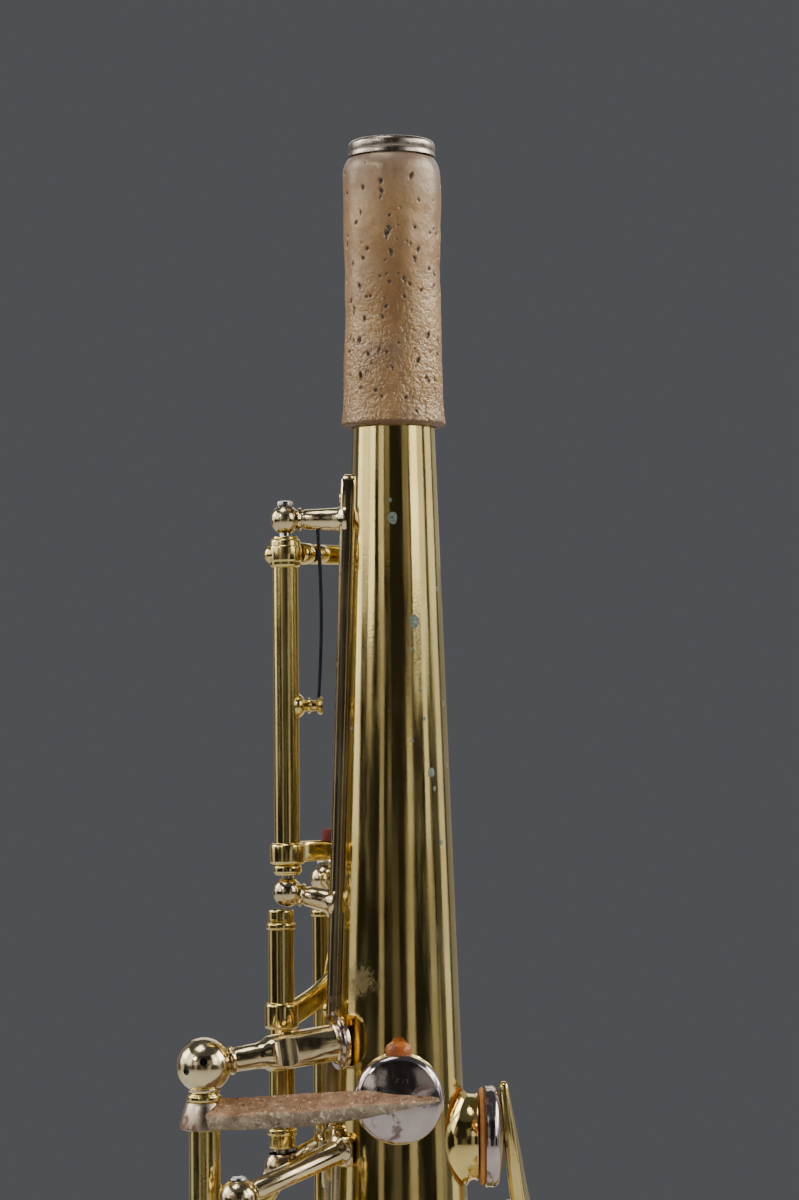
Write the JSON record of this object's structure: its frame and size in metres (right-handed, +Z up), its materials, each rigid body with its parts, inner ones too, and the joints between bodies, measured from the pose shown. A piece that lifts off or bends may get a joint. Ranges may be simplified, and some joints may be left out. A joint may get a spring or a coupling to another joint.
{
  "type": "straight soprano saxophone",
  "caption": "Straight soprano saxophone: conical brass tube with corked neck, flared bell, tone holes, hinged padded keys on ribs and posts, octave, palm, side and bell keys.",
  "frame": {"origin": "centre of the bell rim's face, on the tube's axis", "axes": "+Z up the tube's axis from the bell to the neck tip, -Y the player's side, +X the player's right-hand side"},
  "size_m": [0.094, 0.094, 0.65],
  "materials": {
    "body_lacquer": "mirror-polished brass under clear gold lacquer, with small verdigris specks",
    "key_lacquer": "polished lacquered brass, lacquer worn where fingers touch",
    "post_brass": "worn lacquered brass, darker in the turned grooves",
    "fitting_brass": "polished lacquered brass",
    "tip_nickel": "dull nickel silver ring",
    "rod_steel": "oiled blued steel",
    "cork": "sanded cork sheet with dark pores, greased at the top",
    "pad_leather": "tan kid leather over felt",
    "pearl": "pearl finger button",
    "felt": "felt and cork bumper"
  },
  "bodies": {
    "instrument": {"bell": "body_lacquer", "bell_key_rib": "post_brass", "bell_rim_ring": "body_lacquer", "body_bell_ring": "body_lacquer", "body_tube": "body_lacquer", "g_sharp_rib": "post_brass", "g_sharp_rod": "rod_steel", "low_c_rod": "rod_steel", "low_eb_rod": "rod_steel", "lower_octave_rib": "post_brass", "lower_octave_rod": "rod_steel", "lower_stack_rib": "post_brass", "lower_stack_rod": "rod_steel", "neck_cork": "cork", "neck_tip_ring": "tip_nickel", "octave_rib": "post_brass", "octave_rod": "rod_steel", "palm_d_rod": "rod_steel", "palm_eb_post": "post_brass", "palm_eb_rod": "rod_steel", "palm_f_rod": "rod_steel", "palm_rib": "post_brass", "side_key_rib": "post_brass", "strap_ring": "fitting_brass", "thumb_hook": "fitting_brass", "thumb_lever_rib": "post_brass", "thumb_lever_rod": "rod_steel", "thumb_rest": "fitting_brass", "upper_stack_rib": "post_brass", "upper_stack_rod": "rod_steel"},
    "a_key": {"a_key": "key_lacquer"},
    "b_key": {"b_key": "key_lacquer"},
    "bis_key": {"bis_key": "key_lacquer"},
    "c_vent_key": {"c_vent_key": "key_lacquer"},
    "d_key": {"d_key": "key_lacquer", "d_pad": "pad_leather"},
    "e_key": {"e_key": "key_lacquer"},
    "f_key": {"f_key": "key_lacquer"},
    "f_sharp_key": {"f_sharp_key": "key_lacquer"},
    "g_key": {"g_key": "key_lacquer"},
    "g_sharp_key": {"g_sharp_key": "key_lacquer"},
    "low_b_key": {"low_b_key": "key_lacquer"},
    "low_bb_key": {"low_bb_key": "key_lacquer", "low_bb_pad": "pad_leather"},
    "low_c_key": {"low_c_key": "key_lacquer", "low_c_pad": "pad_leather"},
    "low_c_sharp_key": {"low_c_sharp_key": "key_lacquer"},
    "low_eb_key": {"low_eb_key": "key_lacquer"},
    "lower_octave_key": {"lower_octave_key": "key_lacquer"},
    "octave_thumb_lever": {"octave_thumb_lever": "key_lacquer"},
    "palm_d_key": {"palm_d_key": "key_lacquer", "palm_d_pad": "pad_leather"},
    "palm_eb_key": {"palm_eb_key": "key_lacquer", "palm_eb_pad": "pad_leather"},
    "palm_f_key": {"palm_f_key": "key_lacquer"},
    "side_bb_key": {"side_bb_key": "key_lacquer"},
    "side_c_key": {"side_c_key": "key_lacquer"},
    "side_e_key": {"side_e_key": "key_lacquer", "side_e_pad": "pad_leather"},
    "upper_octave_key": {"upper_octave_key": "key_lacquer"}
  },
  "joints": [
    {"name": "a_hinge", "type": "hinge", "parent": "instrument", "child": "a_key", "pos_m": [0.01351, 0.01698, 0.383], "axis": [0, 0, 1], "range_deg": [0, 11], "stiffness_Nm_per_rad": 0.012, "springref_deg": -17.19},
    {"name": "b_hinge", "type": "hinge", "parent": "instrument", "child": "b_key", "pos_m": [0.01351, 0.01698, 0.427], "axis": [0, 0, 1], "range_deg": [0, 11], "stiffness_Nm_per_rad": 0.012, "springref_deg": -17.19},
    {"name": "bis_hinge", "type": "hinge", "parent": "instrument", "child": "bis_key", "pos_m": [0.01351, 0.01698, 0.407], "axis": [0, 0, 1], "range_deg": [0, 11], "stiffness_Nm_per_rad": 0.012, "springref_deg": -17.19},
    {"name": "c_vent_hinge", "type": "hinge", "parent": "instrument", "child": "c_vent_key", "pos_m": [0.01351, 0.01698, 0.447], "axis": [0, 0, 1], "range_deg": [0, 11], "stiffness_Nm_per_rad": 0.012, "springref_deg": -17.19},
    {"name": "d_hinge", "type": "hinge", "parent": "instrument", "child": "d_key", "pos_m": [0.017, 0.022, 0.216], "axis": [0, 0, 1], "range_deg": [0, 10], "stiffness_Nm_per_rad": 0.012, "springref_deg": -17.19},
    {"name": "e_hinge", "type": "hinge", "parent": "instrument", "child": "e_key", "pos_m": [0.017, 0.022, 0.247], "axis": [0, 0, 1], "range_deg": [0, 10], "stiffness_Nm_per_rad": 0.012, "springref_deg": -17.19},
    {"name": "f_hinge", "type": "hinge", "parent": "instrument", "child": "f_key", "pos_m": [0.017, 0.022, 0.277], "axis": [0, 0, 1], "range_deg": [0, 10], "stiffness_Nm_per_rad": 0.012, "springref_deg": -17.19},
    {"name": "f_sharp_hinge", "type": "hinge", "parent": "instrument", "child": "f_sharp_key", "pos_m": [0.017, 0.022, 0.306], "axis": [0, 0, 1], "range_deg": [0, 10], "stiffness_Nm_per_rad": 0.012, "springref_deg": -17.19},
    {"name": "g_hinge", "type": "hinge", "parent": "instrument", "child": "g_key", "pos_m": [0.01351, 0.01698, 0.357], "axis": [0, 0, 1], "range_deg": [0, 11], "stiffness_Nm_per_rad": 0.012, "springref_deg": -17.19},
    {"name": "g_sharp_hinge", "type": "hinge", "parent": "instrument", "child": "g_sharp_key", "pos_m": [-0.02325, 0.00261, 0.336], "axis": [0, 0, 1], "range_deg": [0, 10], "stiffness_Nm_per_rad": 0.012, "springref_deg": -17.19},
    {"name": "low_b_hinge", "type": "hinge", "parent": "instrument", "child": "low_b_key", "pos_m": [-0.03034, 0.00986, 0.1015], "axis": [0, 0, 1], "range_deg": [-11, 0], "stiffness_Nm_per_rad": 0.012, "springref_deg": 17.19},
    {"name": "low_bb_hinge", "type": "hinge", "parent": "instrument", "child": "low_bb_key", "pos_m": [-0.03295, 0.00173, 0.07], "axis": [0, 0, 1], "range_deg": [-11, 0], "stiffness_Nm_per_rad": 0.012, "springref_deg": 17.19},
    {"name": "low_c_hinge", "type": "hinge", "parent": "instrument", "child": "low_c_key", "pos_m": [0.01678, 0.02487, 0.16], "axis": [0, 0, 1], "range_deg": [0, 11], "stiffness_Nm_per_rad": 0.012, "springref_deg": -17.19},
    {"name": "low_c_sharp_hinge", "type": "hinge", "parent": "instrument", "child": "low_c_sharp_key", "pos_m": [-0.02504, 0.01689, 0.1336], "axis": [0, 0, 1], "range_deg": [0, 11], "stiffness_Nm_per_rad": 0.012, "springref_deg": -17.19},
    {"name": "low_eb_hinge", "type": "hinge", "parent": "instrument", "child": "low_eb_key", "pos_m": [0.02499, 0.01329, 0.1895], "axis": [0, 0, 1], "range_deg": [0, 11], "stiffness_Nm_per_rad": 0.012, "springref_deg": -17.19},
    {"name": "lower_octave_hinge", "type": "hinge", "parent": "instrument", "child": "lower_octave_key", "pos_m": [-0.01202, 0.01523, 0.45], "axis": [0, 0, 1], "range_deg": [0, 7], "stiffness_Nm_per_rad": 0.012, "springref_deg": -17.19},
    {"name": "octave_thumb_lever_hinge", "type": "hinge", "parent": "instrument", "child": "octave_thumb_lever", "pos_m": [-0.014, -0.014, 0.404], "axis": [0, 0, 1], "range_deg": [0, 6], "stiffness_Nm_per_rad": 0.012, "springref_deg": -17.19},
    {"name": "palm_d_hinge", "type": "hinge", "parent": "instrument", "child": "palm_d_key", "pos_m": [-0.02449, -0.019, 0.439], "axis": [0, 0, 1], "range_deg": [-8, 0], "stiffness_Nm_per_rad": 0.012, "springref_deg": 17.19},
    {"name": "palm_eb_hinge", "type": "hinge", "parent": "instrument", "child": "palm_eb_key", "pos_m": [-0.03, -0.01399, 0.4622], "axis": [0, 0, 1], "range_deg": [-6, 0], "stiffness_Nm_per_rad": 0.012, "springref_deg": 17.19},
    {"name": "palm_f_hinge", "type": "hinge", "parent": "instrument", "child": "palm_f_key", "pos_m": [-0.0186, 0, 0.4894], "axis": [0, 0, 1], "range_deg": [0, 8], "stiffness_Nm_per_rad": 0.012, "springref_deg": -17.19},
    {"name": "side_bb_hinge", "type": "hinge", "parent": "instrument", "child": "side_bb_key", "pos_m": [0.0093, -0.01994, 0.3195], "axis": [0, 0, 1], "range_deg": [-9, 0], "stiffness_Nm_per_rad": 0.012, "springref_deg": 17.19},
    {"name": "side_c_hinge", "type": "hinge", "parent": "instrument", "child": "side_c_key", "pos_m": [0.01208, -0.01518, 0.324], "axis": [0, 0, 1], "range_deg": [-10, 0], "stiffness_Nm_per_rad": 0.012, "springref_deg": 17.19},
    {"name": "side_e_hinge", "type": "hinge", "parent": "instrument", "child": "side_e_key", "pos_m": [0.018, 0.00801, 0.351], "axis": [0, 0, 1], "range_deg": [0, 9], "stiffness_Nm_per_rad": 0.012, "springref_deg": -17.19},
    {"name": "upper_octave_hinge", "type": "hinge", "parent": "instrument", "child": "upper_octave_key", "pos_m": [-0.0175, 0, 0.5327], "axis": [0, 0, 1], "range_deg": [0, 6], "stiffness_Nm_per_rad": 0.012, "springref_deg": -17.19}
  ],
  "couplings": [
    {"joint": "c_vent_hinge", "follows": "b_hinge", "ratio": 1},
    {"joint": "f_sharp_hinge", "follows": "f_hinge", "ratio": 1},
    {"joint": "upper_octave_hinge", "follows": "octave_thumb_lever_hinge", "ratio": 1}
  ]
}
